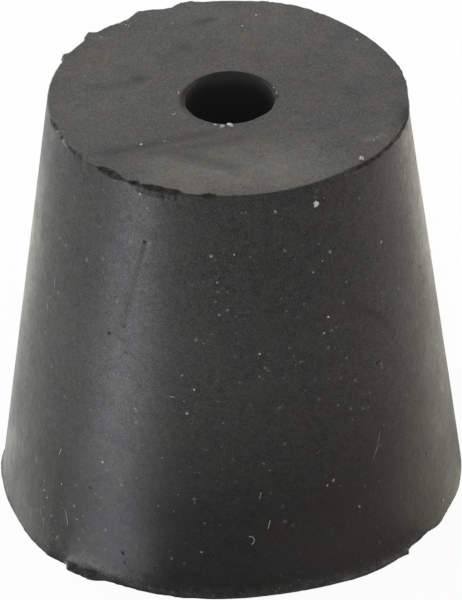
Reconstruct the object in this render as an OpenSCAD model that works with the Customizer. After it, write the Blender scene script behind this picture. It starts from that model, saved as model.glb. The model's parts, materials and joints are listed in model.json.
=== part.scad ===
// Rubber stopper with one hole, moulded in one piece from black rubber.
// It stands on its large end, whose middle is the origin, and narrows towards +Z.
// Angles on the rims are degrees round from the front (-Y), positive towards the right (+X).

/* [Body] */
// Diameter of the large end
large_d = 26; // [23:0.5:40]
// Diameter of the small end
small_d = 20; // [12:0.5:22]
// Height from the large end to the small end
height = 25; // [12:0.5:60]

/* [Hole] */
// Diameter of the hole that a glass tube is pushed through
hole_d = 5; // [2:0.5:8]
// How far the core pin stood to the right of the middle of the mould
hole_right = 0.15; // [-0.5:0.05:0.5]
// How far the core pin stood in front of the middle of the mould
hole_front = 0.2; // [-0.5:0.05:0.5]
// Radius that softens both mouths of the hole
mouth_r = 0.1; // [0.05:0.05:0.5]

/* [Flash torn off at the rims] */
// Thickness of the flash left at the small end
small_flash_t = 0.35; // [0.1:0.05:1]
// Thickness of the flash left at the large end
large_flash_t = 0.3; // [0.1:0.05:1]
// How ragged the rims are: 1 as torn, 0 for a cleanly trimmed circle
raggedness = 1; // [0:0.1:1.5]

/* [Hidden] */

// Each tear is [where its middle is, how far it runs to each side, how far it reaches, squareness].
// The first two are degrees. A reach above 0 is flash left on, below 0 is a bite out of the rim.
// Squareness 1 is a pointed tear, 2 a round one, and 4 or more one with a flat top and steep ends.
small_tears = [
    [-167.5, 5, 0.2, 2], [-160.5, 4, -0.14, 2], [-152, 6, 0.2, 1.5], [-151, 2, 0.1, 2], [-147, 3, -0.05, 2],
    [-143.5, 4, -0.17, 2], [-132.3, 1.2, 0.2, 1], [-130.5, 3.2, 0.31, 1.3], [-116.7, 2.2, 0.28, 1.3],
    [-74, 3, -0.16, 2], [-67.3, 2, -0.14, 1], [-56.5, 4.5, -0.06, 2], [-50.5, 3.5, 0.05, 2],
    [-41, 5.5, -0.3, 4], [-30.5, 3, -0.26, 1.5], [-21, 7.5, -0.27, 4], [-5.8, 2.6, -0.26, 2],
    [67, 25, 0.26, 3], [101, 12, 0.11, 2], [128, 14, -0.05, 2], [158, 16, 0.17, 2], [165.5, 5, 0.07, 1]
];
large_tears = [
    [-93, 9, 0.12, 2], [-77, 9, 0.04, 4], [-51, 20, 0.44, 1], [-39.3, 5.4, 0.42, 6], [-24, 14, 0.18, 4],
    [-8, 8, 0.09, 1.5], [13, 12, -0.12, 2], [38, 11.5, 0.19, 2], [47.9, 1.9, 0.22, 1], [52.5, 3.5, -0.13, 4],
    [57.3, 3.2, -0.27, 2], [63.5, 3, 0.05, 2], [71, 6, -0.06, 2], [91, 9, -0.13, 2], [124, 18, 0.1, 2],
    [152, 9, -0.12, 2], [176, 13, 0.14, 2], [-146, 12, -0.1, 2], [-118, 13, 0.12, 1]
];
// Degrees between the corners of a torn outline, the same as one facet of the round forms
rim_step = 1.5;
$fn = 360 / rim_step;

// Diameter of the smooth cone at a height above the large end
function cone_d(z) = large_d + (small_d - large_d) * z / height;

// Degrees between two directions, never more than half a turn
function degrees_between(a, b) = abs((a - b + 540) % 360 - 180);

// How far one tear reaches at a given angle: most in its middle, nothing past its ends
function tear_reach(angle, tear) =
    let (share = min(1, degrees_between(angle, tear[0]) / tear[1]))
    tear[2] * (1 - pow(share, tear[3]));

// What all the tears of a rim add up to at a given angle
function rim_reach(angle, tears, i = 0) =
    i == len(tears) ? 0 : tear_reach(angle, tears[i]) + rim_reach(angle, tears, i + 1);

// Thin web of flash, torn off close to the rim of one end
module flash_web(rim_d, thickness, tears) {
    linear_extrude(thickness)
        polygon([
            for (angle = [-180 : rim_step : 180 - rim_step])
                let (r = rim_d / 2 + raggedness * rim_reach(angle, tears))
                [r * sin(angle), -r * cos(angle)]
        ]);
}

// Cone between the two webs
module cone() {
    translate([0, 0, large_flash_t])
        cylinder(
            h = height - large_flash_t - small_flash_t,
            d1 = cone_d(large_flash_t),
            d2 = cone_d(height - small_flash_t)
        );
}

// Half section of what the core pin and its two rounded shoulders leave open
module hole_section() {
    hole_r = hole_d / 2;
    translate([0, -mouth_r])
        square([hole_r, height + 2 * mouth_r]);
    for (end = [0, 1])
        translate([hole_r, end * height])
            mirror([0, end])
                difference() {
                    translate([-mouth_r, -mouth_r])
                        square(2 * mouth_r);
                    translate([mouth_r, mouth_r])
                        circle(mouth_r);
                }
}

module hole() {
    translate([hole_right, -hole_front, 0])
        rotate_extrude()
            hole_section();
}

module stopper() {
    color([0.16, 0.16, 0.165])
        difference() {
            union() {
                flash_web(large_d, large_flash_t, large_tears);
                cone();
                translate([0, 0, height - small_flash_t])
                    flash_web(small_d, small_flash_t, small_tears);
            }
            hole();
        }
}

stopper();
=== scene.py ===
# %% [markdown]
# # A rubber stopper with one hole, as a lesson in Blender
# The object is one piece of black rubber: a cone with two flat ends and one hole through its
# middle. What makes it look real is small: flash torn away at the two rims, a skin that is
# neither matt nor glossy, white crumbs, and lint. The measured model is loaded first, and the
# rest is made around it.

import json
import math
import random

import bmesh
import bpy
import numpy as np
from mathutils import Matrix, Quaternion, Vector, noise
from mathutils.bvhtree import BVHTree


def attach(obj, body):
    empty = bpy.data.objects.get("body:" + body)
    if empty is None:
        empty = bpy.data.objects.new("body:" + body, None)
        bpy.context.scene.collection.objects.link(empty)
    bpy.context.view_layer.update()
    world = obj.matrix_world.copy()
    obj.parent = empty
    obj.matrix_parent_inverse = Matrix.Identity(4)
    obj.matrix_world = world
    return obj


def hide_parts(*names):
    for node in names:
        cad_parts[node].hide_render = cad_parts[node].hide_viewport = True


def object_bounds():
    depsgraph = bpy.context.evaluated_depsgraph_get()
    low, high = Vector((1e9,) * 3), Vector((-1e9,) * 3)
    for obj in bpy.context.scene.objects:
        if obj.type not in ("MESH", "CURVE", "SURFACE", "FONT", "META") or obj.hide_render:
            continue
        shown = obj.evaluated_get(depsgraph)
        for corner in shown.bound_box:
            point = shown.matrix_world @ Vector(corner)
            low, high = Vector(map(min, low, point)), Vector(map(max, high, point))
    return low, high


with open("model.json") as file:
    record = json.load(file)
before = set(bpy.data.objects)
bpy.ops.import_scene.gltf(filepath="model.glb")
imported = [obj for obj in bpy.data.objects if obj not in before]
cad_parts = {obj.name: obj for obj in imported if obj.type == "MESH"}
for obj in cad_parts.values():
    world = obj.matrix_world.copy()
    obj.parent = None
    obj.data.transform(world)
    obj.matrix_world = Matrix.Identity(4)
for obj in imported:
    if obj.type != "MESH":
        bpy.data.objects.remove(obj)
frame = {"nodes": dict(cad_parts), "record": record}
cad_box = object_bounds()
solid = frame["nodes"]["stopper"]
MM = 0.001
print("measured box, mm:", [[round(v / MM, 2) for v in corner] for corner in cad_box])

# %% [markdown]
# ## The plain sizes
# The height and the hole come from the measured model. The two ends are 26 and 20 mm across
# where no flash stands out or is missing. Angles are in degrees from the front, positive
# towards the right.

# %% Name the sizes, in millimetres
HEIGHT = cad_box[1].z / MM
LARGE_R, SMALL_R = 13.0, 10.0
hole = next(m for m in frame["record"]["mounts"] if m["name"] == "hole")
HOLE_R = hole["dims"]["r_mm"]
HOLE_X, HOLE_Y = hole["pos_m"][0] / MM, hole["pos_m"][1] / MM
print(f"height {HEIGHT:.2f}, hole radius {HOLE_R:.2f} at {HOLE_X:.2f}, {HOLE_Y:.2f}")


def cone_radius(height):
    """Radius of the plain side at a height above the large end."""
    return LARGE_R + (SMALL_R - LARGE_R) * height / HEIGHT


def at_turn(angle, away, up):
    """The point at an angle from the front, some way out and some way up."""
    a = math.radians(angle)
    return Vector((away * math.sin(a), -away * math.cos(a), up))


# %% Helpers that put things into the scene
def add_object(name, data):
    """Makes an object of a mesh, a lamp or a camera, and links it to the scene."""
    made = bpy.data.objects.new(name, data)
    bpy.context.scene.collection.objects.link(made)
    return made


def mesh_from(bm, name):
    """Writes a bmesh into a new mesh and frees it."""
    mesh = bpy.data.meshes.new(name)
    bm.to_mesh(mesh)
    bm.free()
    return mesh


# %% [markdown]
# ## The camera
# The stopper is seen from 34 degrees above, through a long lens from 0.8 m away, so its upright
# lines hardly lean. The camera is turned by a small roll, and it aims just below the middle of
# the stopper.

# %% Place the camera
LOOK_DOWN = math.radians(33.71)
LENS_ROLL = -0.0139
CAMERA_AWAY = 0.8
PICTURE_TALL = 600  # pixels
LENS_IN_PIXELS = 14251.5
AIM_RIGHT, AIM_DOWN = 1.15, 19.02  # pixels
MIDDLE_UP = 12.7
SENSOR = 36

forward = Vector((0, math.cos(LOOK_DOWN), -math.sin(LOOK_DOWN)))
upward = Vector((0, math.sin(LOOK_DOWN), math.cos(LOOK_DOWN)))
middle = Vector((0, 0, MIDDLE_UP * MM))
pixel = CAMERA_AWAY / LENS_IN_PIXELS
aim = middle + Vector((AIM_RIGHT * pixel, 0, 0)) - upward * (AIM_DOWN * pixel)

camera_data = bpy.data.cameras.new("camera")
camera = add_object("camera", camera_data)
camera.location = middle - forward * CAMERA_AWAY
camera.rotation_mode = "QUATERNION"
facing = (aim - camera.location).to_track_quat("-Z", "Y")
camera.rotation_quaternion = facing @ Quaternion((0, 0, 1), LENS_ROLL)
camera_data.sensor_width = SENSOR
camera_data.lens = LENS_IN_PIXELS * SENSOR / PICTURE_TALL
camera_data.clip_start = 0.01
camera_data.clip_end = 20
bpy.context.scene.camera = camera
bpy.context.scene.view_settings.view_transform = "Standard"
print(f"camera {CAMERA_AWAY} m away, lens {camera_data.lens:.0f} mm")

# %% [markdown]
# ## Helpers for materials
# Every finish here is a tree of nodes. One helper adds a node and lays the nodes out in rows. A
# few more make the nodes that come back most, and take their tree from the values they join. A
# node group is a small effect that several materials use.

# %% Make nodes
FLOAT, VECTOR, COLOUR = "NodeSocketFloat", "NodeSocketVector", "NodeSocketColor"
NODES_IN_A_ROW = 12


def fill_socket(tree, socket, value):
    """Links or sets a socket. A colour is red, green and blue, or one grey."""
    if isinstance(value, bpy.types.NodeSocket):
        tree.links.new(value, socket)
    elif socket.type == "RGBA":
        socket.default_value = (*value, 1) if isinstance(value, tuple) else (value, value, value, 1)
    else:
        socket.default_value = value


def add_node(tree, kind, settings=None, **inputs):
    """Adds a shader node. An input is named, or i0, i1 and so on where names repeat."""
    row, column = divmod(len(tree.nodes), NODES_IN_A_ROW)
    new = tree.nodes.new("ShaderNode" + kind)
    new.location = (column * 190, -row * 320)
    for name, value in (settings or {}).items():
        setattr(new, name, value)
    for name, value in inputs.items():
        key = int(name[1:]) if name[0] == "i" and name[1:].isdigit() else name.replace("_", " ")
        fill_socket(tree, new.inputs[key], value)
    return new


def tree_of(*values):
    """The tree that a socket among some values belongs to."""
    return next(value.id_data for value in values if isinstance(value, bpy.types.NodeSocket))


def maths(operation, *values, clamp=False):
    """A Math node's output."""
    inputs = {f"i{k}": value for k, value in enumerate(values)}
    settings = {"operation": operation, "use_clamp": clamp}
    return add_node(tree_of(*values), "Math", settings, **inputs).outputs[0]


def times(value, factor, clamp=False):
    """A value times a number or another value."""
    return maths("MULTIPLY", value, factor, clamp=clamp)


def scaled(value, gain, shift):
    """A value times a gain, plus a shift. These two may be values too."""
    return maths("MULTIPLY_ADD", value, gain, shift)


def stretched(value, gain, shift):
    """The same, kept from 0 to 1. It makes a soft pattern crisper."""
    return maths("MULTIPLY_ADD", value, gain, shift, clamp=True)


def blend_colour(share, under, over, way="MIX"):
    """A colour Mix node's output."""
    tree = tree_of(share, under, over)
    settings = {"data_type": "RGBA", "blend_type": way}
    return add_node(tree, "Mix", settings, i0=share, i6=under, i7=over).outputs[2]


def paint_over(colour, layers):
    """Lays tones over a colour, from the bottom up, each with its share."""
    for share, tone in layers:
        colour = blend_colour(share, colour, tone)
    return colour


# %% Make node groups
def new_group(name, inputs, outputs):
    """An empty node group: its tree, what comes in, and what goes out."""
    tree = bpy.data.node_groups.new(name, "ShaderNodeTree")
    for way, sockets in (("INPUT", inputs), ("OUTPUT", outputs)):
        for socket, kind in sockets.items():
            tree.interface.new_socket(name=socket, in_out=way, socket_type=kind)
    return tree, tree.nodes.new("NodeGroupInput").outputs, tree.nodes.new("NodeGroupOutput").inputs


def use_group(group, **inputs):
    """Places a group in a material and gives its outputs."""
    return add_node(tree_of(*inputs.values()), "Group", {"node_tree": group}, **inputs).outputs


# %% Start and close a finish
def new_finish(name):
    """An empty material, its tree, and the place on the object."""
    finish = bpy.data.materials.new(name)
    finish.use_nodes = True
    tree = finish.node_tree
    tree.nodes.clear()
    return finish, tree, add_node(tree, "TexCoord").outputs["Object"]


def read_attribute(tree, name):
    """A value that the mesh keeps at each of its points."""
    return add_node(tree, "Attribute", {"attribute_name": name}).outputs["Fac"]


def duller_where(roughness, masks):
    """Raises a roughness to a dullness where a mask is."""
    for mask, dullness in masks:
        roughness = maths("MAXIMUM", roughness, times(mask, dullness))
    return roughness


def close_finish(colour, roughness, surface, depth, mirror=0.25):
    """Adds the shader, over a relief some mm deep. Rubber mirrors half as much as plastic."""
    tree = tree_of(colour)
    relief = add_node(tree, "Bump", Strength=1.0, Distance=depth * MM, Height=surface)
    normal = relief.outputs[0]
    shader = add_node(tree, "BsdfPrincipled", Base_Color=colour, Roughness=roughness, Normal=normal)
    shader.inputs["Specular IOR Level"].default_value = mirror
    add_node(tree, "OutputMaterial", Surface=shader.outputs[0])


# %% [markdown]
# ## The table and the white room
# The stopper stands on a plain white table in a white room. The table is a real surface that
# takes light and shadow. Its white is helped by a little glow that only the camera, reflections
# and clear materials see, so the ground is white while the lamps stay at a plain level.
# Reflections see that glow behind the stopper only, because the table in front of it lies in
# shade.


# %% Make the table
def seen_share(tree, straight, mirrored):
    """A share for what the camera sees, another for reflections, otherwise 0."""
    path = add_node(tree, "LightPath").outputs
    clear = maths("MAXIMUM", path["Is Camera Ray"], path["Is Transmission Ray"])
    mirror = times(path["Is Glossy Ray"], mirrored)
    return maths("MAXIMUM", times(clear, straight), mirror)


TABLE_WIDE = 3.0
TABLE_GLOW, TABLE_GLOW_MIRRORED = 0.94, 0.70
SHADE_FRONT, SHADE_RUN = -0.0195, 0.030  # metres back from the middle, where the glow starts and how it rises
table_paint, tree, place = new_finish("white table")
matt = add_node(tree, "BsdfDiffuse", Color=0.9)
glow = add_node(tree, "Emission", Color=1, Strength=1.0)
back = add_node(tree, "SeparateXYZ", Vector=place).outputs[1]
behind = stretched(back, 1 / SHADE_RUN, -SHADE_FRONT / SHADE_RUN)
glow_share = seen_share(tree, TABLE_GLOW, times(behind, TABLE_GLOW_MIRRORED))
both = add_node(tree, "MixShader", i0=glow_share, i1=matt.outputs[0], i2=glow.outputs[0])
add_node(tree, "OutputMaterial", Surface=both.outputs[0])

bm = bmesh.new()
bmesh.ops.create_grid(bm, x_segments=1, y_segments=1, size=TABLE_WIDE / 2)
table_mesh = mesh_from(bm, "table")
table_mesh.materials.append(table_paint)
table = add_object("table", table_mesh)

# %% Make the room
AMBIENT = 0.60
room = bpy.data.worlds.new("white room")
bpy.context.scene.world = room
room.use_nodes = True
tree = room.node_tree
tree.nodes.clear()
strength = scaled(seen_share(tree, 1.0, 1.0), 1.0 - AMBIENT, AMBIENT)
sky = add_node(tree, "Background", Color=1, Strength=strength)
add_node(tree, "OutputWorld", Surface=sky.outputs[0])
print("table", TABLE_WIDE, "m wide, ambient light", AMBIENT)

# %% [markdown]
# ## The lamps
# Most of the light comes evenly from the white room. Three soft panels, hung low, brighten the
# two flanks: cool on the left, warm on the right. The rest is mirrored light. Seen from above,
# the side mirrors the table round it, so lit cards lie where it has something bright to mirror.
# Three in a row, in front on the left, draw the upright gleam. Six faint ones lift the side
# towards its edges.

# %% Hang the panels
PANEL_AWAY = 0.50
PANEL_AIM = Vector((0, 0, 12.5)) * MM


def hang_panel(name, turn, rise, width, tall, level, colour):
    """A soft panel that faces the stopper, turn degrees from the front and rise degrees up."""
    data = bpy.data.lights.new(name, "AREA")
    data.shape = "RECTANGLE"
    data.size, data.size_y = width, tall
    data.energy = level * width * tall * math.pi * 4
    data.color = colour
    lamp = add_object(name, data)
    b = math.radians(rise)
    lamp.location = PANEL_AIM + at_turn(turn, math.cos(b), math.sin(b)) * PANEL_AWAY
    lamp.rotation_euler = (PANEL_AIM - lamp.location).to_track_quat("-Z", "Y").to_euler()
    lamp.visible_camera = False
    return lamp


LAMPS = [  # name, turn, rise, width, height, level, colour
    ("window behind on the left", -150, 12, 0.34, 0.19, 1.6, (1.0, 1.0, 0.93)),
    ("panel on the left", -112, 13, 0.24, 0.19, 1.7, (0.92, 0.98, 0.95)),
    ("panel on the right", 122, 12, 0.30, 0.18, 1.6, (1.0, 0.84, 0.60)),
]
for row in LAMPS:
    hang_panel(*row)

# %% Lay the lit cards on the table
CARD_UP = 0.1


def lay_card(name, near_end, far_end, wide, level, colour):
    """A lit card on the table. Its ends are given by turn and mm from the middle."""
    near, far = at_turn(*near_end, CARD_UP), at_turn(*far_end, CARD_UP)
    run = far - near
    card = hang_panel(name, 0, 0, wide * MM, run.length * MM, level, colour)
    card.location = (near + far) / 2 * MM
    card.rotation_euler = (math.pi, 0, math.atan2(run.x, -run.y))


COOL, LEFT_EDGE, RIGHT_EDGE = (0.93, 0.94, 1.0), (1.0, 1.0, 0.88), (1.0, 0.95, 0.62)
CARDS = [  # name, near end and far end as turn and mm away, width in mm, level, colour
    ("card near the stopper", (-32, 13.8), (-46.0, 24), 6.3, 0.90, COOL),
    ("card in the middle", (-49, 22), (-52, 40), 12, 1.01, COOL),
    ("card further out", (-51, 39), (-54.5, 92), 20, 2.2, (0.92, 0.94, 1.0)),
    ("card behind on the left", (-175, 27), (-128, 38), 16, 0.27, (1.0, 1.0, 0.83)),
    ("card left of the middle", (-136, 24), (-95, 20), 11, 0.143, LEFT_EDGE),
    ("card at the left edge", (-96, 21), (-56, 19), 14, 0.182, (1.0, 1.0, 0.90)),
    ("card behind on the right", (175, 32), (126, 46), 18, 0.275, (1.0, 0.97, 0.73)),
    ("card right of the middle", (135, 29), (98, 25), 14, 0.137, RIGHT_EDGE),
    ("card at the right edge", (98, 23), (59, 14), 8, 0.155, RIGHT_EDGE),
]
for row in CARDS:
    lay_card(*row)
print(len(LAMPS), "panels and", len(CARDS), "cards")

# %% [markdown]
# ## The shape before it is torn
# The stopper is round, so half of its outline is drawn once and spun about the upright axis.
# Subdividing the outline's edges puts many rings where the rims will be torn, and a bevel
# rounds its four corners. One tenth of the turn is spun step by step, which is quick, and that
# slice is then spun round as nine copies and merged with them, so no seam is left.

# %% Draw half the outline and round its corners
OUTLINE = [  # radius, height, rings added before the next point
    (HOLE_R, 0.0, 1), (3.6, 0.0, 1), (7.5, 0.0, 1), (11.4, 0.0, 1),
    (12.5, 0.0, 4), (LARGE_R, 0.0, 9), (cone_radius(0.5), 0.5, 3),
    (cone_radius(2.0), 2.0, 12), (cone_radius(23.0), 23.0, 3),
    (cone_radius(24.35), 24.35, 13), (SMALL_R, HEIGHT, 6), (9.5, HEIGHT, 3),
    (8.4, HEIGHT, 2), (5.6, HEIGHT, 2), (3.4, HEIGHT, 3),
    (HOLE_R, HEIGHT, 2), (HOLE_R, HEIGHT - 1.2, 4),
]
CORNERS = [  # radius, height, rounding, segments
    (HOLE_R, 0.0, 0.05, 2), (LARGE_R, 0.0, 0.05, 2), (SMALL_R, HEIGHT, 0.05, 2), (HOLE_R, HEIGHT, 0.14, 4),
]
bm = bmesh.new()
points = [bm.verts.new((radius * MM, 0, height * MM)) for radius, height, _ in OUTLINE]
lines = [bm.edges.new((points[i], points[(i + 1) % len(points)])) for i in range(len(points))]
for line, (_, _, rings) in zip(lines, OUTLINE):
    bmesh.ops.subdivide_edges(bm, edges=[line], cuts=rings, use_grid_fill=False)
for radius, height, rounding, segments in CORNERS:
    at_corner = [v for v in bm.verts if math.dist((v.co.x / MM, v.co.z / MM), (radius, height)) < 1e-3]
    bmesh.ops.bevel(bm, geom=at_corner, offset=rounding * MM, offset_type="OFFSET", segments=segments,
                    profile=0.5, affect="VERTICES", clamp_overlap=True, material=-1)
print("outline of", len(bm.verts), "points,", len(CORNERS), "corners rounded")

# %% Spin one slice, then nine copies of it
SLICES, STEPS = 10, 90
slice_angle = math.tau / SLICES
bmesh.ops.spin(bm, geom=bm.verts[:] + bm.edges[:], cent=(0, 0, 0), axis=(0, 0, 1),
               angle=slice_angle, steps=STEPS, use_merge=False, use_duplicate=False)
bmesh.ops.spin(bm, geom=bm.verts[:] + bm.edges[:] + bm.faces[:], cent=(0, 0, 0), axis=(0, 0, 1),
               angle=slice_angle * (SLICES - 1), steps=SLICES - 1, use_merge=False, use_duplicate=True)
bmesh.ops.remove_doubles(bm, verts=bm.verts, dist=1e-6)
bmesh.ops.recalc_face_normals(bm, faces=bm.faces)
open_edges = sum(1 for edge in bm.edges if not edge.is_manifold)
print(len(bm.verts), "points,", len(bm.faces), "faces,", open_edges, "open edges")

# %% [markdown]
# ## Which face is which
# The side, the two ends and the hole wall have different finishes, so each face gets a material
# number now, while the shape is still plain and its direction tells what it is.

# %% Sort the faces
SIDE, END, HOLE_WALL = 0, 1, 2
for face in bm.faces:
    place = face.calc_center_median()
    if abs(face.normal.z) > 0.8:
        face.material_index = END
    elif math.hypot(place.x, place.y) < (HOLE_R + 0.5) * MM:
        face.material_index = HOLE_WALL
    else:
        face.material_index = SIDE
    face.smooth = True
body_mesh = mesh_from(bm, "moulded_stopper")
counts = [sum(1 for p in body_mesh.polygons if p.material_index == k) for k in (SIDE, END, HOLE_WALL)]
print("side, end and hole faces:", counts)

# %% Take the points as arrays, in mm
co = np.empty(len(body_mesh.vertices) * 3)
body_mesh.vertices.foreach_get("co", co)
co = co.reshape(-1, 3) / MM
turn = np.degrees(np.arctan2(co[:, 0], -co[:, 1]))
radius = np.hypot(co[:, 0], co[:, 1])
height = co[:, 2].copy()
plain_radius = radius.copy()

# %% [markdown]
# ## Where the rims are torn
# The measured solid has the torn outline of each rim as a thin web. Its points say how far each
# rim stands out or is missing at every angle, so the skin and the solid agree. A finer
# raggedness is added, because torn rubber is never smooth. The helpers here work on all the
# points at once.


# %% Read the torn outlines
def torn_reach(level, plain):
    """How far the solid's rim reaches past the plain rim, for each point of the skin."""
    found = {}
    for vert in solid.data.vertices:
        x, y, z = (v / MM for v in vert.co)
        if abs(z - level) < 1e-3 and math.hypot(x, y) > 0.8 * plain:
            found[round(math.degrees(math.atan2(x, -y)), 2)] = math.hypot(x, y) - plain
    angles = np.array(sorted(found))
    values = np.array([found[a] for a in angles])
    print(f"rim at {level:.0f} mm: {len(angles)} angles, from {values.min():.2f} to {values.max():.2f} mm")
    return np.interp(turn, np.concatenate([angles - 360, angles, angles + 360]), np.tile(values, 3))


small_reach = torn_reach(HEIGHT, SMALL_R)
large_reach = torn_reach(0.0, LARGE_R)


# %% Shape values over the angles
def ease(x):
    """0 below 0, 1 above 1, and a smooth rise between."""
    x = np.clip(x, 0, 1)
    return x * x * (3 - 2 * x)


def fade(value, start, run):
    """1 up to a start, and a smooth fall to 0 over a run past it."""
    return 1 - ease((value - start) / run)


def bump_at(angle, run):
    """1 at one angle, falling to 0 at run degrees to each side."""
    return ease(1 - np.abs((turn - angle + 180) % 360 - 180) / run)


def over_spans(*spans):
    """The largest of several spans, each an angle, a run, a steepness and a strength."""
    return np.maximum.reduce([strength * ease(steep * bump_at(angle, run))
                              for angle, run, steep, strength in spans])


def ragged(step, seed):
    """A smooth random value from -1 to 1, new about every step degrees."""
    count = round(360 / step)
    values = np.random.default_rng(seed).uniform(-1, 1, count)
    place = (turn + 180) / 360 * count
    low = np.floor(place).astype(int)
    share = place - low
    share = share * share * (3 - 2 * share)
    return values[low % count] * (1 - share) + values[(low + 1) % count] * share


def lumps(size, seed, where):
    """Random lumps from -1 to 1, about size mm across, at some of the points."""
    out = np.zeros(len(co))
    shift = Vector((seed * 7.3, seed * 3.1, seed * 5.7))
    for i in np.nonzero(where)[0]:
        out[i] = noise.noise(Vector(co[i]) / size + shift)
    return out


def smooth_round(values, run, where):
    """Some of the values, averaged over run degrees to each side."""
    step = 0.25
    angles = np.arange(-180, 180, step)
    order = np.argsort(turn[where])
    along = np.interp(angles, turn[where][order], values[where][order], period=360)
    reach = int(run / step)
    weights = np.hanning(2 * reach + 1)
    padded = np.concatenate([along[-reach:], along, along[:reach]])
    return np.interp(turn, angles, np.convolve(padded, weights / weights.sum(), "valid"), period=360)


# %% [markdown]
# ## Tear the small rim
# Where flash stands out, it is a lip about a quarter of a millimetre thick. Where it was torn
# off, the edge is bitten away and a ragged slope runs down to the whole side. Each point moves
# straight out or in, and less so the further it is from the rim. An attribute, from 0 to 1,
# remembers which points are torn, worn or painted with shade. Under a few spans the skin is
# frayed without a step. Under three, a band just below the overhanging lip is painted shade:
# darker and duller. Handling has worn a thin line all round the rim.

# %% Rules for both rims
def moved_share(reach, away, slope, power, lip, rounding):
    """How much of a reach a point moves: less down a slope in a bite, or a lip's depth."""
    return np.where(reach < 0, np.clip(1 - away / slope, 0, 1) ** power, fade(away, lip, rounding))


# %% Move the points of the small rim
RIM_DEEP, RIM_IN = 1.0, 1.1  # how far down and how far inwards a tear is felt, in mm
RIM_WIDE = 1.3  # mm: no tear bites further in than this
down = HEIGHT - height
at_rim = (down < RIM_DEEP) & (radius > SMALL_R - RIM_WIDE)
calm = 1 - np.maximum(0.85 * bump_at(-72, 30), over_spans((68, 30, 2, 0.6)))
uneven = ease((np.abs(small_reach) - 0.03) / 0.1) * calm
reach = small_reach + (0.045 * ragged(1.1, 1) + 0.035 * ragged(2.7, 6) + 0.020 * ragged(0.55, 23)) * uneven
slope = 0.08 + 0.32 * np.abs(reach) + 0.03 * ragged(1.7, 2)
lip = 0.27 + 0.06 * ragged(2.9, 4)
outer = ease((plain_radius - (SMALL_R - RIM_IN)) / (RIM_IN - 0.05))
share = moved_share(reach, down, slope, 0.9, lip, 0.14) * outer

# %% Mark what is torn, frayed or worn there, and the painted shade under the lip
torn_edge = ease((np.abs(reach) - 0.02) / 0.09) * (1 - over_spans((92, 16, 2, 0.7)))
small_rim_torn_and_shaded = torn_edge * fade(down, np.where(reach < 0, 0.75 * slope, lip), 0.20)
band = 0.10 + 0.12 * bump_at(-17.5, 8) + 0.09 * bump_at(-58, 9) + 0.10 * bump_at(-77, 5)
band += 0.03 * ragged(1.3, 8)
frayed = over_spans((-25, 23, 3, 1.0), (-56, 10, 2, 1.1), (-77, 5, 2, 1.0))
frayed = frayed * (0.8 + 0.2 * ragged(1.9, 9)) * fade(down, band, 0.08)
# Painted shade under the overhanging lip: a darker, duller band below the rim over three spans
lip_shade = over_spans((-23, 12, 2, 0.9), (-54, 10, 2, 0.81), (58, 16, 2, 0.63))
lip_shade = lip_shade * (0.75 + 0.25 * ragged(1.5, 17)) * fade(down, 0.35, 0.5)
worn_rim = (0.25 + over_spans((-72, 60, 2, 0.55))) * (0.8 + 0.2 * ragged(3.1, 7)) * fade(down, 0, 0.12)
small_rim_torn_and_shaded = np.maximum.reduce([small_rim_torn_and_shaded, frayed, lip_shade, worn_rim]) * at_rim
small_rim_torn_and_shaded *= ease((plain_radius - (SMALL_R - 0.07)) / 0.04)
small_rim_torn_and_shaded *= 0.9 + 0.4 * lumps(0.24, 5, small_rim_torn_and_shaded > 0.01)
is_marked = small_rim_torn_and_shaded > 0.01
rough_small = calm * (0.045 * lumps(0.24, 1, is_marked) + 0.025 * lumps(0.11, 2, is_marked))
fine = 0.010 * lumps(0.22, 3, at_rim) * fade(down, 0, 0.3)
radius = radius + np.where(at_rim, reach * share, 0) + rough_small * small_rim_torn_and_shaded + fine
height = height - 0.06 * small_rim_torn_and_shaded * calm * np.abs(lumps(0.2, 4, is_marked)) * fade(down, 0, 0.2)
print("small rim:", int((small_rim_torn_and_shaded > 0.5).sum()), "torn points")

# %% [markdown]
# ## Tear the large rim
# The large rim stands on the table. Over a few spans its flash was torn off roughly and left a
# dull skirt with a step above it. Elsewhere the side just flares out into it, and the bites go
# in from below. The lowest points stay on the table.

# %% Move the points of the large rim
FOOT_TALL = 8.0  # mm: the flare at the foot ends below this
ROUGH_SPANS = [  # angle, run, steepness, strength
    (-39.5, 6.5, 2.2, 1), (-22, 15, 2.2, 0.85), (104, 13, 2.2, 0.7), (152, 20, 2.2, 0.8),
    (-128, 16, 2.2, 0.7),
]
at_foot = (height < FOOT_TALL) & (plain_radius > LARGE_R - RIM_WIDE)
rough_span = over_spans(*ROUGH_SPANS)
outer = ease((plain_radius - cone_radius(height) + RIM_IN) / (RIM_IN - 0.05))
flare_height = 3.0 + 4.5 * bump_at(-53, 30)
flare_round = np.minimum(np.maximum(large_reach, 0), 0.5 * bump_at(-53, 20))
flare_round = smooth_round(flare_round, 1.5, at_foot)
flare = flare_round * np.clip(1 - height / flare_height, 0, 1) ** 1.3
uneven = ease((np.abs(large_reach) - 0.03) / 0.1)
reach = large_reach - flare_round
reach = reach + uneven * (0.012 + 0.018 * rough_span) * (ragged(0.9, 11) + ragged(2.4, 15))
slope = 0.10 + 0.45 * np.abs(reach) + 0.03 * ragged(1.9, 12)
ledge = 0.13 + 0.08 * bump_at(-45.5, 6) + 0.04 * ragged(2.6, 13)
share = moved_share(reach, height, slope, 0.8, ledge, 0.10)

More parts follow.
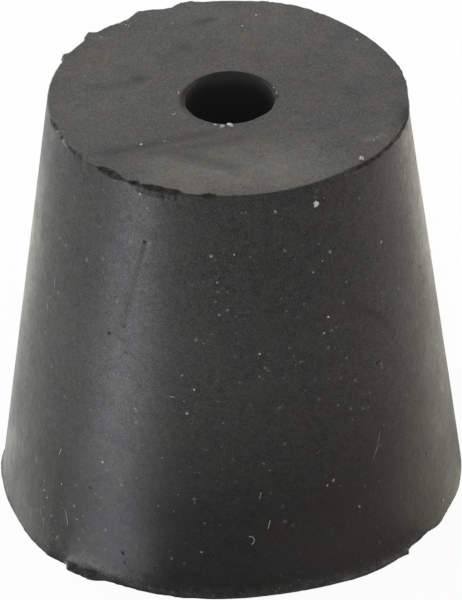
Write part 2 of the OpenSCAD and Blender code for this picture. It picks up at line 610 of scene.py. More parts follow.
# %% Mark what is torn there
torn_large = ease((np.abs(reach) - 0.04) / 0.08) * np.maximum(rough_span, 0.30)
torn_large *= fade(height, np.where(reach < 0, 0.7 * slope, ledge), 0.07)
edge_line = np.maximum(0.3 * bump_at(-62, 34) * fade(height, 0, 0.10),
                       over_spans((-49.5, 7, 2, 0.60)) * fade(height, 0.21, 0.7))
torn_large = np.maximum(torn_large, edge_line) * ease((plain_radius - (LARGE_R - 0.07)) / 0.04) * at_foot
torn_large *= 0.85 + 0.5 * lumps(0.24, 14, torn_large > 0.01)
is_marked = torn_large > 0.01
rough_large = 0.035 * lumps(0.26, 11, is_marked) + 0.015 * lumps(0.12, 12, is_marked)
fine = 0.010 * lumps(0.25, 13, at_foot & (height < 0.5)) * fade(height, 0, 0.3)
radius = radius + np.where(at_foot, (reach * share + flare) * outer, 0)
radius = radius + rough_large * torn_large * rough_span + fine
print("large rim:", int((torn_large > 0.5).sum()), "torn points")

# %% [markdown]
# ## Dust along the foot
# Powder and dust gather low on the side. They are a second attribute: a thin line all round the
# foot, a deeper patch above the rough tear on the left, and a faint one to the left of that.

# %% Mark what is dusty
dusty_foot = fade(height, 0, 0.9) * (0.35 + over_spans((30, 34, 2, 0.25)))
dusty_foot = np.maximum(dusty_foot, fade(height, 0.24, 1.2) * over_spans((-34, 20, 1.6, 0.5)))
dusty_foot = np.maximum(dusty_foot, fade(height, 0.44, 2.2) * over_spans((-62, 26, 2, 0.25))) * at_foot
print("dusty points:", int((dusty_foot > 0.3).sum()))

# %% [markdown]
# ## The hole and the waves of the side
# The hole is a little off the middle, and its mouth isn't quite round: it has a nick on the
# right and a flat beside it. A ragged ring round the mouth is worn dull and darker, partly as
# painted shade where the mouth rounds down, so it counts as torn too. The side has very shallow
# waves, as rubber has when it leaves its mould, which bend the gleam without showing in the
# outline.

# %% Shape the mouth of the hole
from_hole = plain_radius - HOLE_R
towards_hole = fade(from_hole, 0.1, 3.2)
near_mouth = fade(from_hole, 0, 0.5) * ease((height - (HEIGHT - 0.9)) / 0.8)
mouth_bent = 0.28 * bump_at(178, 80) - 0.08 * bump_at(15, 50) + 0.05 * bump_at(93, 8) - 0.07 * bump_at(46, 22)
radius += near_mouth * (mouth_bent + 0.015 * ragged(9, 21) + 0.010 * ragged(3, 22))
# A ragged ring round the mouth, darker and duller: partly wear, partly painted shade where the mouth rounds
# down
ring_wide = 0.08 + 0.12 * bump_at(-80, 60) + 0.05 * ragged(7, 24)
mouth_worn_and_shaded = fade(from_hole, ring_wide, 0.30 + 0.08 * ragged(3, 25))
mouth_worn_and_shaded = (0.65 + over_spans((180, 150, 2, 0.35))) * mouth_worn_and_shaded * (height > HEIGHT - 0.3)

# %% Wave the side
on_side = (plain_radius > SMALL_R - 0.01) & (height > 0.5) & (height < HEIGHT - 0.6)
waves = 0.018 * lumps(6.0, 21, on_side) + 0.006 * lumps(2.2, 22, on_side)
radius += waves * ease((height - 0.5) / 1.5) * ease((HEIGHT - 0.6 - height) / 1.5)

# %% Write the points and the two attributes back
around = np.radians(turn)
co[:, 0] = radius * np.sin(around) + HOLE_X * towards_hole
co[:, 1] = -radius * np.cos(around) + HOLE_Y * towards_hole
co[:, 2] = height
body_mesh.vertices.foreach_set("co", (co * MM).ravel())
# The torn attribute holds torn and worn places, and the painted shade under the lip and round the mouth; the
# dusty one holds dust.
for name, values in (("torn", small_rim_torn_and_shaded + torn_large + mouth_worn_and_shaded), ("dusty", dusty_foot)):
    kept = body_mesh.attributes.new(name, "FLOAT", "POINT")
    kept.data.foreach_set("value", np.clip(values, 0, 1).astype(np.float32))
body_mesh.update()
body_mesh.set_sharp_from_angle(angle=math.radians(50))
moulded_stopper = add_object("moulded_stopper", body_mesh)
print("stopper skin:", sum(len(p.vertices) - 2 for p in body_mesh.polygons), "triangles")

# %% [markdown]
# ## Places on the surface
# Crumbs, pits and scratches are placed where a hand would point: by the angle and the height on
# the side, or by the steps right and back from the middle on the small end.

# %% Find a place on the side or the small end
skin_tree = BVHTree.FromPolygons([vert.co for vert in body_mesh.vertices],
                                 [poly.vertices for poly in body_mesh.polygons])


def on_the_side(angle, up):
    """The point of the skin at an angle and height, in mm, and its outward direction."""
    point, way, _, _ = skin_tree.find_nearest(at_turn(angle, cone_radius(up), up) * MM)
    return point / MM, way


def on_the_top(right, back):
    """The point on the small end, in mm, and its upward direction."""
    return Vector((right, back, HEIGHT)), Vector((0, 0, 1))


# %% [markdown]
# ## Grain, dust and marks as node groups
# The grain is what the mould left: fine and a little uneven, drifting slightly between a warm
# and a cool tint. Dust settles in tiny specks. A mark is the space within some distance of a
# line between two points, which does for pits, stains, smears and creases alike.

# %% Group for the grain
grain, start, end = new_group("Rubber grain", dict(Place=VECTOR, Size=FLOAT, Clouds=FLOAT),
                              dict(Fine=FLOAT, Mottle=FLOAT, Cloud=FLOAT, Tint=COLOUR))
fine_scale = maths("DIVIDE", 1 / MM, start["Size"])
cloud_scale = maths("DIVIDE", 1 / MM, start["Clouds"])
MOTTLE_TO_FINE, DRIFT_TO_FINE = 0.22, 0.05
mottle_scale = times(fine_scale, MOTTLE_TO_FINE)
patterns = {"Fine": (fine_scale, 2.0), "Mottle": (mottle_scale, 3.0), "Cloud": (cloud_scale, 3.0)}
for output, (scale, detail) in patterns.items():
    pattern = add_node(grain, "TexNoise", Vector=start["Place"], Scale=scale, Detail=detail, Roughness=0.55)
    grain.links.new(pattern.outputs[0], end[output])
drift_scale = times(fine_scale, DRIFT_TO_FINE)
drift = add_node(grain, "TexNoise", Vector=start["Place"], Scale=drift_scale, Detail=1.0)
warmth = stretched(drift.outputs[0], 4.0, -1.5)
grain.links.new(blend_colour(warmth, (0.975, 0.985, 1.03), (1.03, 1.01, 0.95)), end["Tint"])

# %% Group for the specks of dust
specks, start, end = new_group("Dust specks", dict(Place=VECTOR, Apart=FLOAT, Size=FLOAT, Share=FLOAT),
                               dict(Mask=FLOAT))
cell_scale = maths("DIVIDE", 1 / MM, start["Apart"])
cells = add_node(specks, "TexVoronoi", Vector=start["Place"], Scale=cell_scale, Randomness=1.0)
chance = add_node(specks, "SeparateColor", Color=cells.outputs["Color"]).outputs
kept = maths("LESS_THAN", chance[0], start["Share"])
size_in_cells = maths("DIVIDE", start["Size"], start["Apart"])
speck_reach = times(scaled(chance[1], 0.8, 0.4), size_in_cells)
from_speck = maths("DIVIDE", cells.outputs["Distance"], speck_reach)
near = maths("SUBTRACT", 1.0, from_speck, clamp=True)
crisp = times(times(near, 1.4, clamp=True), kept)
specks.links.new(times(crisp, scaled(chance[2], 0.8, 0.2)), end["Mask"])

# %% Group for one mark
mark, start, end = new_group("Mark", dict(Place=VECTOR, Start=VECTOR, End=VECTOR, Radius=FLOAT, Soft=FLOAT),
                             dict(Mask=FLOAT))


def vector_maths(operation, a, b):
    """A Vector Math node's outputs."""
    return add_node(mark, "VectorMath", {"operation": operation}, i0=a, i1=b).outputs


along = vector_maths("SUBTRACT", start["End"], start["Start"])[0]
from_start = vector_maths("SUBTRACT", start["Place"], start["Start"])[0]
NEARLY_NONE = 1e-12  # keeps a mark that starts and ends at one place from dividing by nothing
length_squared = maths("ADD", vector_maths("DOT_PRODUCT", along, along)["Value"], NEARLY_NONE)
dot = vector_maths("DOT_PRODUCT", from_start, along)["Value"]
share_along = maths("DIVIDE", dot, length_squared, clamp=True)
nearest = add_node(mark, "VectorMath", {"operation": "SCALE"}, i0=along, Scale=share_along)
gap = times(vector_maths("DISTANCE", from_start, nearest.outputs[0])["Value"], 1 / MM)
left_over = maths("SUBTRACT", 1.0, maths("DIVIDE", gap, start["Radius"]))
mark.links.new(maths("DIVIDE", left_over, start["Soft"], clamp=True), end["Mask"])
print("groups:", [g.name for g in bpy.data.node_groups])


# %% Name what several finishes share
MOTTLED, GRAINY = (3.0, -1.0), (5.0, -2.2)  # stretches, as gain and shift
TORN_DULL = 0.95  # the roughness of a torn face


# %% Lay several marks in a material
def lay_marks(place, spot, marks, soft=1.0):
    """One mask for rows of (from place, to place, radius, strength). spot finds the points."""
    masks = []
    for first, last, radius, strength in marks:
        one = use_group(mark, Place=place, Start=spot(*first)[0] * MM, End=spot(*last)[0] * MM,
                        Radius=radius, Soft=soft)
        masks.append(times(one["Mask"], strength))
    total = masks[0]
    for mask in masks[1:]:
        total = maths("MAXIMUM", total, mask)
    return total


def as_dots(rows):
    """Turns rows of one place each into marks that start and end there."""
    return [((x, y), (x, y), radius, strength) for x, y, radius, strength in rows]


# %% [markdown]
# ## The moulded side
# The side came out of a smooth mould, so it is satin: dark, with a broad gleam. Dust lifts the
# black a little: in clouds, in broad blotches and in fine grains, and a few patches are paler.
# The side is darker towards the foot, and a few patches on the front are darker too. A darker
# band along the front of the rim is painted shade under the overhanging lip. The gloss varies
# too, which breaks up the gleam. Torn places are dull and darker, because a torn face scatters
# the gleam; over three spans just under the lip, that share is painted shade instead. The pits
# are dark spots that also go inwards, and a crease where the rubber flowed together runs down
# from the rim.

# %% Name the marks of the side
PITS = [  # angle, height, radius, strength
    (-26.4, 21.6, 0.14, 0.9), (-37, 15.3, 0.13, 0.9), (-31, 14.5, 0.1, 0.5), (-50.4, 9.9, 0.13, 0.6),
    (-40, 5.3, 0.12, 0.8), (-28.8, 2, 0.15, 0.9), (-28.2, 1.4, 0.1, 0.7), (-57, 4.2, 0.1, 0.6),
    (81.4, 21.4, 0.1, 0.9), (72.4, 15.7, 0.12, 0.9), (88, 7.6, 0.09, 0.8), (75.8, 8.3, 0.12, 0.8),
    (60.8, 4.9, 0.11, 0.9), (44.8, 12.5, 0.16, 0.9), (150, 17, 0.12, 0.8), (-130, 9, 0.13, 0.8),
    (-165, 13.5, 0.11, 0.7), (118, 5, 0.12, 0.7),
]
# Darker places on the side. The first three are darker patches on the front, one high and two low. The four
# along the rim are painted shade under the overhanging lip.
RIM_SHADE_AND_DARK_PATCHES = [  # from angle, height; to angle, height; radius, strength
    ((-12, 20.5), (14, 22), 6, 0.55), ((0, 2.6), (9, 4.6), 5.2, 0.9), ((-8, 4), (1, 5), 4.5, 0.6),
    ((-11, 24.7), (12, 24.7), 0.9, 0.8), ((12, 24.7), (32, 24.6), 1.1, 0.8),
    ((32, 24.6), (52, 24.5), 1.2, 0.8), ((52, 24.5), (70, 24.5), 1.1, 0.8),
]
# Paler patches on the side: one low on the right, the rest at about 30 degrees to the left
PALE_PATCHES = [  # from angle, height; to angle, height; radius, strength
    ((26, 2.5), (54, 5.5), 5.5, 0.24), ((-36, 23.9), (-28.5, 23.6), 1.1, 0.2),
    ((-31.4, 21.8), (-27, 21.7), 0.45, 0.26), ((-34.5, 13.9), (-27.5, 14.3), 0.5, 0.26),
    ((-33.5, 12.6), (-31.5, 11.2), 0.9, 0.14), ((-34, 7.8), (-32, 6.6), 1, 0.12),
    ((-28.3, 20.2), (-30.8, 18.2), 0.22, 0.3),
]
CREASE = [(-25.8, 21.5), (-27.6, 20.1), (-29.8, 18.6), (-31.5, 17.4), (-32.3, 16.2)]  # angle, height
CREASE_WIDE, CREASE_STRENGTH = 0.26, 0.7
LINES = [  # from angle, height; to angle, height; radius, strength
    ((-25.6, 21.5), (-27.4, 20.1), 0.07, 0.16), ((-27.4, 20.1), (-29.6, 18.6), 0.09, 0.36),
    ((-29.6, 18.6), (-31.3, 17.4), 0.11, 0.5), ((-31.3, 17.4), (-32.1, 16.2), 0.09, 0.35),
    ((37, 16.9), (43, 16.1), 0.35, 0.4), ((43, 16.1), (49, 14.9), 0.4, 0.55),
    ((49, 14.9), (53, 13.6), 0.4, 0.5), ((53, 13.6), (55.5, 12), 0.3, 0.25),
]

# %% Gather the side's patterns
side_finish, tree, place = new_finish("moulded side")
fine_grain = use_group(grain, Place=place, Size=0.085, Clouds=4.0)
broad_grain = use_group(grain, Place=place, Size=0.25, Clouds=4.0)
dust = use_group(specks, Place=place, Apart=0.75, Size=0.05, Share=0.30)["Mask"]
flecks = use_group(specks, Place=place, Apart=0.8, Size=0.14, Share=0.7)["Mask"]
torn_and_shade_share = read_attribute(tree, "torn")
foot_dust = read_attribute(tree, "dusty")
pits = lay_marks(place, on_the_side, as_dots(PITS), soft=0.6)
crease_runs = [(a, b, CREASE_WIDE, CREASE_STRENGTH) for a, b in zip(CREASE, CREASE[1:])]
creases = lay_marks(place, on_the_side, crease_runs)
lines = lay_marks(place, on_the_side, LINES)
rim_shade_and_dark_patches = lay_marks(place, on_the_side, RIM_SHADE_AND_DARK_PATCHES)
pale_patches = lay_marks(place, on_the_side, PALE_PATCHES)

# %% Mix the side's colour
LIGHTER_FROM, LIGHTER_RUN = 5.0, 8.0  # mm: the side is darker towards the foot; from here it lightens, up to its full tone this much higher
# Darker towards the foot: low on the side the tone is darker, and mottle, grains and blotches thin out
up_the_side = add_node(tree, "SeparateXYZ", Vector=place).outputs[2]
lighter_up_the_side = stretched(up_the_side, 1 / (LIGHTER_RUN * MM), -LIGHTER_FROM / LIGHTER_RUN)
lifted = scaled(lighter_up_the_side, 0.60, 0.22)
cloud = stretched(fine_grain["Cloud"], 2.4, -0.7)
mottle = stretched(fine_grain["Mottle"], *MOTTLED)
blotches = stretched(broad_grain["Mottle"], *MOTTLED)
grains = stretched(fine_grain["Fine"], *GRAINY)
patches = stretched(fine_grain["Mottle"], 2.4, -0.8)
# The darker tone low on the side, and the dusty tone higher up
darker_low_tone = blend_colour(cloud, (0.0024, 0.0020, 0.0024), (0.0054, 0.0046, 0.0048))
dusty = blend_colour(cloud, (0.006, 0.006, 0.007), (0.019, 0.018, 0.0165))
torn_and_shade_tone = blend_colour(grains, (0.010, 0.010, 0.009), (0.040, 0.038, 0.034))
powder_share = scaled(grains, 0.35, times(patches, 0.7))
powder_share = times(powder_share, scaled(torn_and_shade_share, -1.6, 1.5))
colour = paint_over(blend_colour(lighter_up_the_side, darker_low_tone, dusty), [
    # painted shade under the rim's lip, and darker patches on the front
    (rim_shade_and_dark_patches, (0.0032, 0.0028, 0.0031)),
    (pale_patches, (0.052, 0.049, 0.045)),
    (times(blotches, scaled(lighter_up_the_side, 0.30, 0.03)), (0.034, 0.034, 0.032)),
    (times(mottle, lifted), (0.032, 0.032, 0.031)),
    (times(grains, times(lifted, 0.7)), (0.070, 0.069, 0.066)),
    (times(dust, 0.7), (0.30, 0.29, 0.27)),
    (times(flecks, 0.5), (0.17, 0.165, 0.15)),
    # torn faces, and the painted shade just under the lip
    (torn_and_shade_share, torn_and_shade_tone),
    (times(foot_dust, powder_share, clamp=True), (0.105, 0.102, 0.097)),
])
colour = blend_colour(1.0, colour, fine_grain["Tint"], "MULTIPLY")
colour = blend_colour(maths("MAXIMUM", pits, lines), colour, 0.004)

# %% Mix the side's gloss and relief
BUMP_DEEP, PIT_DEEP = 0.015, 3.0  # mm of relief, and how many times deeper a pit goes
roughness = scaled(cloud, 0.08, 0.64)
for pattern, gain in ((fine_grain["Mottle"], -0.10), (fine_grain["Fine"], -0.24),
                      (broad_grain["Mottle"], -0.20)):
    roughness = scaled(pattern, gain, roughness)
roughness = duller_where(roughness, [(torn_and_shade_share, TORN_DULL), (pits, 0.8), (foot_dust, 0.5)])
surface = scaled(fine_grain["Fine"], 0.45, fine_grain["Mottle"])
surface = scaled(maths("MAXIMUM", pits, creases), -PIT_DEEP, surface)
close_finish(colour, roughness, surface, BUMP_DEEP)
print("side:", len(tree.nodes), "nodes")

# %% [markdown]
# ## The pressed ends
# The two ends are duller than the side and hold more dust, so they look a lighter grey, and
# are paler in a few places, most of all towards the front. Handling has wiped faint darker
# smears across the small end, and there are a few dark stains. Two dark marks at the right edge
# are painted shade at the flash there.

# %% Name the smears, stains and painted shade of the small end
# The last two smears, at the right edge, are painted shade at the flash there.
SMEARS_AND_LIP_SHADE = [  # from right, back; to right, back; radius, strength
    ((-6.8, -5.6), (-0.9, -3.6), 0.6, 0.55), ((-4.2, -5.6), (0.6, -4.3), 0.6, 0.45),
    ((-7.6, 1), (-4.6, 1.9), 0.5, 0.35), ((-3.2, -5.4), (0.4, -7.2), 0.9, 0.45),
    ((-3.3, 4.2), (-2.3, 5.3), 0.9, 0.3), ((-1.5, 7.75), (-0.8, 8.1), 0.5, 0.6),
    ((2.5, 1.5), (7, 0.5), 1.1, 0.25), ((9.98, -1.4), (9.74, -2.6), 0.45, 1),
    ((9.98, -1.9), (9.86, -2.4), 0.3, 0.9),
]
STAINS = [  # right, back, radius, strength
    (-4.94, 1.95, 0.65, 0.8), (-2.35, 5.2, 0.7, 0.5), (5.2, 2.2, 0.5, 0.4), (0.9, -5.4, 0.5, 0.3),
    (-5.6, 3.3, 0.2, 0.5), (9.3, -3.1, 0.35, 0.5),
]
# Paler places on the small end; the first, towards the front, is the largest and strongest
PALER_PLACES = [  # from right, back; to right, back; radius, strength
    ((-2.6, -7.6), (3.6, -7.3), 3.6, 0.95), ((-7.5, -1), (-5.5, 4), 4.5, 0.26),
    ((-2.5, 8.5), (3, 8), 4, 0.32), ((-6.5, 5), (-2.5, 7.8), 2.2, 0.14),
    ((-7.5, 6.3), (-6.7, 6.2), 0.35, 0.5), ((5, 6.5), (7.5, 3.5), 2, 0.1),
    ((7.7, -4.6), (8.6, -4.1), 0.4, 0.5),
]

# %% Mix the ends' finish
end_finish, tree, place = new_finish("pressed end")
fine_grain = use_group(grain, Place=place, Size=0.080, Clouds=3.2)
broad_grain = use_group(grain, Place=place, Size=0.25, Clouds=4.0)
dust = use_group(specks, Place=place, Apart=0.9, Size=0.06, Share=0.25)["Mask"]
torn_and_shade_share = read_attribute(tree, "torn")
smears_and_shade = maths("MAXIMUM", lay_marks(place, on_the_top, SMEARS_AND_LIP_SHADE),
               lay_marks(place, on_the_top, as_dots(STAINS), soft=0.9))
paler_places = lay_marks(place, on_the_top, PALER_PLACES)
cloud = stretched(fine_grain["Cloud"], 3.2, -1.1)
colour = blend_colour(cloud, (0.032, 0.032, 0.034), (0.050, 0.048, 0.044))
colour = blend_colour(paler_places, colour, (0.110, 0.108, 0.0965))
for pattern in (fine_grain, broad_grain):
    mottle = stretched(pattern["Mottle"], *MOTTLED)
    shade = blend_colour(mottle, 0.82, 1.18)
    colour = blend_colour(1.0, colour, shade, "MULTIPLY")
grains = stretched(fine_grain["Fine"], *GRAINY)
grain_tone = blend_colour(paler_places, (0.118, 0.117, 0.112), (0.175, 0.171, 0.160))
colour = blend_colour(times(grains, 0.7), colour, grain_tone)
colour = blend_colour(1.0, colour, fine_grain["Tint"], "MULTIPLY")
colour = paint_over(colour, [
    # smears, stains, and painted shade at the flash on the right edge
    (smears_and_shade, (0.012, 0.012, 0.013)),
    # torn and worn faces, and painted shade at the rim and round the mouth
    (torn_and_shade_share, (0.024, 0.023, 0.021)),
    (times(dust, 0.7), (0.33, 0.32, 0.30)),
])
roughness = duller_where(scaled(fine_grain["Mottle"], 0.20, 0.42), [(torn_and_shade_share, TORN_DULL)])
surface = scaled(fine_grain["Fine"], 0.5, fine_grain["Mottle"])
close_finish(colour, roughness, surface, depth=0.010)
print("ends:", len(tree.nodes), "nodes")

# %% [markdown]
# ## The hole wall
# The wall of the hole sees hardly any light. At the mouth the wall behind is paler and duller,
# which is the part that shows. Further down the colour gets paler, or the little light there
# would leave it too black.

# %% Mix the hole wall's finish
MOUTH_BAND_DEEP, PALER_RUN = 0.7, 2.5  # mm
hole_finish, tree, place = new_finish("hole wall")
wall_grain = use_group(grain, Place=place, Size=0.15, Clouds=1.5)
along_hole = add_node(tree, "SeparateXYZ", Vector=place).outputs
depth = maths("SUBTRACT", HEIGHT * MM, along_hole[2])
at_mouth = stretched(depth, -1 / (MOUTH_BAND_DEEP * MM), 1.0)
# A paler, duller band on the wall behind, just below the mouth
paler_mouth_band = times(at_mouth, stretched(along_hole[1], 1 / (1.6 * MM), -0.2))
deep = stretched(depth, 1 / (PALER_RUN * MM), -0.3)
colour = blend_colour(wall_grain["Cloud"], 0.008, 0.018)
colour = paint_over(colour, [(deep, 0.045), (paler_mouth_band, (0.036, 0.037, 0.035))])
roughness = duller_where(scaled(wall_grain["Mottle"], 0.2, 0.60), [(paler_mouth_band, 0.95)])
close_finish(colour, roughness, wall_grain["Mottle"], depth=0.012)

# %% Give the skin its finishes
for finish in (side_finish, end_finish, hole_finish):
    body_mesh.materials.append(finish)
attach(moulded_stopper, "root")
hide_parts("stopper")
print("finishes:", [m.name for m in body_mesh.materials])

# %% [markdown]
# ## Crumbs
# White crumbs of the powder that keeps rubber from sticking lie on the surface. Each is a small
# ball of a few flat faces, squeezed and turned at random, because a real shape catches the
# light as paint can't. Fainter ones are settled dust: flattened, round the white ones and in
# places of their own, with many tiny ones all round. The seed is fixed, so every run draws the
# same ones.

# %% Make crumbs, one or several
rng = random.Random(7)
LARGE_CRUMB = 0.15  # mm: a crumb larger than this has eighty faces, a smaller one twenty


def standing(point, way):
    """Stands a shape, made upright at the origin, on a point along a direction."""
    return Matrix.Translation(point) @ way.to_track_quat("Z", "Y").to_matrix().to_4x4()


def add_crumb(bm, point, way, size, long=1.0, flat=1.0):
    """A crumb half sunk in the surface, size mm across. It stays above the table."""
    spun = Matrix.Rotation(rng.uniform(0, math.tau), 4, "Z")
    wide = size / 2
    across, tall = wide * rng.uniform(0.75, 1.1), wide * rng.uniform(0.5, 0.9) * flat
    shape = Matrix.Diagonal((wide * long, across, tall, 1))
    made = bmesh.ops.create_icosphere(bm, subdivisions=2 if size > LARGE_CRUMB else 1, radius=1.0)["verts"]
    for vert in made:
        vert.co *= rng.uniform(0.72, 1.12)
    bmesh.ops.transform(bm, matrix=standing(point, way) @ spun @ shape, verts=made)
    lowest = min(vert.co.z for vert in made)
    if lowest < 0:
        bmesh.ops.translate(bm, vec=(0, 0, -lowest), verts=made)


def add_cluster(bm, spot, right, up, spread, count, largest):
    """Crumbs stuck together round one place, the largest in the middle."""
    for k in range(count):
        away, way_round = spread * math.sqrt(k / count), rng.uniform(0, math.tau)
        point, way = spot(right + away * math.cos(way_round), up + away * math.sin(way_round))
        size = largest * rng.uniform(0.75, 1.0) * (1 - 0.6 * k / count)
        add_crumb(bm, point, way, size, rng.uniform(1.0, 1.5))


# %% Name the places of crumbs
SIDE_CRUMBS = [  # angle, height, size
    (14.7, 23.8, 0.13), (-26.2, 23.7, 0.1), (8.3, 15.2, 0.12), (-12.2, 11.5, 0.13), (29.6, 16.6, 0.13),
    (32, 20.5, 0.13), (52.4, 19.5, 0.13), (57.8, 16, 0.12), (-5.5, 21.3, 0.12), (-3.7, 19.7, 0.1),
    (-10.3, 13, 0.1), (27.9, 15.7, 0.1), (25.8, 19.6, 0.1), (29.1, 20.1, 0.08), (1.5, 21.4, 0.08),
    (6.4, 21.2, 0.06), (-3.2, 17.7, 0.08), (-8.1, 2.9, 0.1), (-36.5, 7.2, 0.1), (27.4, 6.5, 0.13),
    (25.6, 6.3, 0.09), (34.5, 4.3, 0.12), (-18.9, 8.5, 0.08), (-27.3, 11.2, 0.08), (71.3, 22.2, 0.18),
]
SIDE_SMUDGES = [  # angle, height of a faint flat fleck
    (16.7, 23.3), (2.2, 21.9), (22.9, 21.4), (28.4, 21.2), (17.2, 21.3), (-3.6, 19.1), (-0.6, 19.1),
    (-2.3, 19.3), (-4.2, 18.5), (-0.7, 18), (-3.1, 17.7), (1.6, 17.6), (1.7, 16.6), (-5.3, 16.5),
    (-7.7, 15.9), (-9.9, 16.1), (1.2, 15.1), (20.2, 18.6), (22.2, 17.8), (16.7, 17.6), (19.8, 17.1),
    (35.1, 17.1), (36.7, 18.3), (30.4, 15.7), (32, 15.8), (28.9, 14.7), (17.1, 15.3), (20.2, 14.3),
    (34.6, 13.7), (32.4, 13.4), (9.8, 14.3), (10.5, 14.1), (8, 13.8), (24.1, 13), (28.1, 12.8),
    (32.1, 12.6), (36.8, 12.1), (5.2, 12.1), (30.6, 11), (38.5, 10.2), (34.4, 10.5), (-13.8, 13.8),
    (46.6, 12.3), (46.8, 12.1), (46.5, 12.05), (-30.6, 21.9), (-29.4, 21.6), (-28.6, 21.8),
]
SIDE_CLUSTERS = [  # angle, height, spread in mm, count, largest
    (28.3, 23.7, 0.13, 8, 0.33), (31.5, 23.9, 0.05, 1, 0.09), (28.5, 24.1, 0.1, 2, 0.06),
    (-28.9, 24.45, 0.08, 3, 0.14), (67, 1, 0.1, 3, 0.14), (-56, 3.5, 0.06, 2, 0.07),
    (-54.3, 3.2, 0.08, 2, 0.06), (-52, 2.3, 0.2, 3, 0.05), (-56, 2, 0.12, 2, 0.06),
    (-55, 2.5, 0.1, 2, 0.05), (-43.3, 3, 0.03, 1, 0.11), (-49.6, 4.6, 0.04, 1, 0.08),
    (-59, 1.9, 0.3, 4, 0.05), (-50.5, 1.7, 0.25, 4, 0.05),
]
TOP_CRUMBS = [  # right, back, size
    (-7.9, 2.3, 0.13), (-7.7, -1.2, 0.09), (-4.8, -4.7, 0.18), (-3.5, -4.4, 0.13), (-3.3, -4.5, 0.09),
    (-3, 7.7, 0.09), (0.9, 7.3, 0.12), (1.7, 8.4, 0.16), (1.9, 8.5, 0.1), (7.3, 5.7, 0.12),
    (8.3, -4.3, 0.11), (8.1, -4.6, 0.09), (8.5, -4, 0.08), (-2.7, 0.6, 0.11), (-3.1, -1, 0.08),
    (-2.9, -1.6, 0.07), (2.6, 0.9, 0.11),
]
TOP_CLUSTERS = [  # right, back, spread in mm, count, largest
    (-5.95, 7.72, 0.05, 2, 0.11), (-5.8, 7.65, 0.05, 2, 0.13), (-5.62, 7.57, 0.05, 2, 0.12),
    (-5.45, 7.5, 0.05, 2, 0.1), (-7.05, 6.35, 0.12, 4, 0.09), (7.4, -6.4, 0.05, 3, 0.4),
    (0.15, -2.86, 0.09, 6, 0.36), (-0.28, -2.98, 0.09, 5, 0.29), (-0.7, -2.82, 0.12, 5, 0.16),
    (2.75, 0.35, 0.15, 3, 0.1), (-2.7, 0.45, 0.05, 2, 0.15), (-3.2, -1.1, 0.06, 2, 0.12),
    (-3, -1.7, 0.05, 2, 0.11),
]

# %% Place the white crumbs
bm = bmesh.new()
for angle, up, size in SIDE_CRUMBS:
    add_crumb(bm, *on_the_side(angle, up), size)
for angle, up, spread, count, largest in SIDE_CLUSTERS:
    arc = math.degrees(1 / cone_radius(up))
    spot = lambda x, z: on_the_side(angle + (x - angle) * arc, z)
    add_cluster(bm, spot, angle, up, spread, count, largest)
for right, back, size in TOP_CRUMBS:
    add_crumb(bm, *on_the_top(right, back), size)
for right, back, spread, count, largest in TOP_CLUSTERS:
    add_cluster(bm, on_the_top, right, back, spread, count, largest)
white_faces = len(bm.faces)

# %% Scatter the settled dust
ALL_ROUND, ALONG_FOOT, ON_TOP = 420, 110, 60
TOP_FROM, TOP_TO = 3.0, 9.4
for angle, up, size in SIDE_CRUMBS:
    add_crumb(bm, *on_the_side(angle, up), size * rng.uniform(1.5, 2.0), rng.uniform(1.0, 1.3), flat=0.12)
for angle, up in SIDE_SMUDGES:
    add_crumb(bm, *on_the_side(angle, up), rng.uniform(0.12, 0.20), rng.uniform(1.0, 1.4), flat=0.15)
for _ in range(ALL_ROUND):
    somewhere = on_the_side(rng.uniform(-180, 180), rng.uniform(0.4, 24.2))
    add_crumb(bm, *somewhere, 0.07 + 0.09 * rng.random() ** 2, flat=0.4)
for _ in range(ALONG_FOOT):
    somewhere = on_the_side(rng.gauss(15, 38), 0.09 + 0.5 * rng.random() ** 2)
    add_crumb(bm, *somewhere, 0.05 + 0.08 * rng.random() ** 2)
for _ in range(ON_TOP):
    a, r = rng.uniform(0, math.tau), math.sqrt(rng.uniform(TOP_FROM**2, TOP_TO**2))
    add_crumb(bm, *on_the_top(r * math.cos(a), r * math.sin(a)), 0.06 + 0.07 * rng.random() ** 2)
WHITE, DUST = 0, 1
for k, face in enumerate(bm.faces):
    face.material_index = WHITE if k < white_faces else DUST


def piece_in_mm(bm, name):
    """Scales a bmesh to metres, points its faces outwards, and makes it a piece."""
    bmesh.ops.scale(bm, vec=(MM, MM, MM), verts=bm.verts)
    bmesh.ops.recalc_face_normals(bm, faces=bm.faces)
    piece = add_object(name, mesh_from(bm, name))
    print(name, len(piece.data.polygons), "faces")
    return piece


powder_crumbs = piece_in_mm(bm, "powder_crumbs")

# %% [markdown]
# ## Lint
# Short pale fibres cling to the side. A straight one is a thin rod laid on the surface. A bent
# one is a small ring of points spun part of the way round an axis, with its two ends filled,
# and then laid flat.


# %% Make straight and bent fibres
def add_sliver(bm, first, last, thick):
    """A thin rod on the side, from one angle and height to another."""
    a, way = on_the_side(*first)
    b, _ = on_the_side(*last)
    run = b - a
    made = bmesh.ops.create_cone(bm, cap_ends=True, segments=6, radius1=thick / 2, radius2=thick / 3,
                                 depth=run.length)["verts"]
    bmesh.ops.transform(bm, matrix=standing((a + b) / 2 + way * thick * 0.2, run), verts=made)


def edges_of(verts):
    """The edges at some points, each of them once."""
    return list(dict.fromkeys(edge for vert in verts for edge in vert.link_edges))


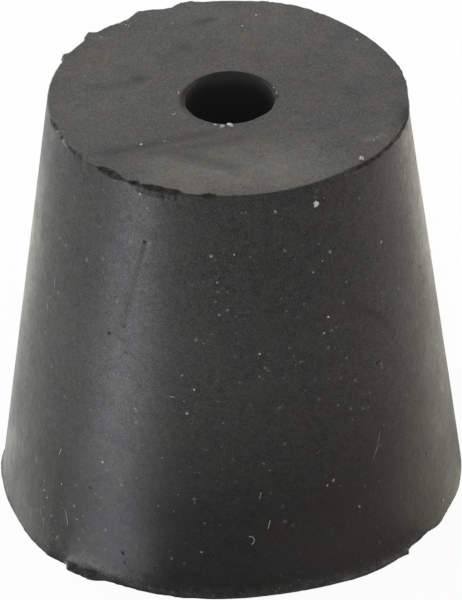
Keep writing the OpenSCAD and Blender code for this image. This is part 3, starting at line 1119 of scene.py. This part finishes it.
def add_hook(bm, place_at, bend, start_angle, sweep, thick):
    """A fibre bent to part of a circle, flat on the side."""
    older = set(bm.verts)
    point, way = on_the_side(*place_at)
    made = bmesh.ops.create_circle(bm, cap_ends=False, segments=6, radius=thick / 2)["verts"]
    upright = Matrix.Translation((bend, 0, 0)) @ Matrix.Rotation(math.pi / 2, 4, "X")
    bmesh.ops.transform(bm, matrix=upright, verts=made)
    bmesh.ops.spin(bm, geom=made + edges_of(made), cent=(0, 0, 0), axis=(0, 0, 1),
                   angle=math.radians(sweep), steps=10, use_duplicate=False)
    hook = [vert for vert in bm.verts if vert not in older]
    bmesh.ops.holes_fill(bm, edges=[edge for edge in edges_of(hook) if edge.is_boundary], sides=6)
    turned = Matrix.Rotation(math.radians(start_angle), 4, "Z")
    bmesh.ops.transform(bm, matrix=standing(point + way * thick * 0.3, way) @ turned, verts=hook)


# %% Place the lint
SLIVERS = [  # from angle, height; to angle, height; thickness
    ((43.6, 8.3), (42.2, 7.5), 0.022), ((42.2, 7.5), (40.2, 6.8), 0.03),
    ((-17.2, 12.4), (-15.8, 12.4), 0.06), ((-51.3, 6.7), (-51.7, 6.3), 0.035),
    ((-47.3, 3.2), (-46.5, 2.8), 0.03), ((-46.5, 2.8), (-45.8, 2.4), 0.04),
    ((-61.8, 16.5), (-61.4, 15.9), 0.035), ((-64.6, 14.6), (-64, 14.2), 0.04),
    ((9.6, 4.8), (9, 4.3), 0.075), ((7.5, 6.6), (7, 6.2), 0.06), ((-56.4, 2.3), (-55.4, 1.8), 0.025),
    ((-54.6, 1.9), (-54.2, 1.5), 0.02), ((-48.6, 1.45), (-49.3, 1.1), 0.022),
    ((-66.4, 24.9), (-62.6, 24.84), 0.045), ((150, 9), (152, 8.2), 0.05),
    ((-120, 17), (-118.5, 16.5), 0.05), ((110, 14), (110.8, 13), 0.05),
]
bm = bmesh.new()
for first, last, thick in SLIVERS:
    add_sliver(bm, first, last, thick)
add_hook(bm, (4.2, 3.65), bend=0.26, start_angle=-70, sweep=170, thick=0.055)
lint = piece_in_mm(bm, "lint")

# %% [markdown]
# ## The finish of crumbs and lint
# Crumbs are chalky and uneven in tone, and lint is a pale straw colour. Both are dull.


# %% Mix the pale finishes
def pale_finish(name, dark, light, dullness):
    """A chalky finish that varies between two tones."""
    finish, tree, place = new_finish(name)
    tones = use_group(grain, Place=place, Size=0.05, Clouds=0.6)
    colour = blend_colour(stretched(tones["Cloud"], 2.6, -0.8), dark, light)
    close_finish(colour, dullness, tones["Fine"], depth=0.01, mirror=0.5)
    return finish


for piece, *finish in (
    (powder_crumbs, "powder", (0.22, 0.21, 0.19), (0.75, 0.73, 0.69), 0.9),
    (powder_crumbs, "settled dust", (0.042, 0.041, 0.039), (0.16, 0.152, 0.138), 0.9),
    (lint, "pale lint", (0.17, 0.165, 0.14), (0.36, 0.34, 0.29), 0.8),
):
    piece.data.materials.append(pale_finish(*finish))
for piece in (powder_crumbs, lint):
    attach(piece, "root")
print("finishes:", [m.name for m in bpy.data.materials])
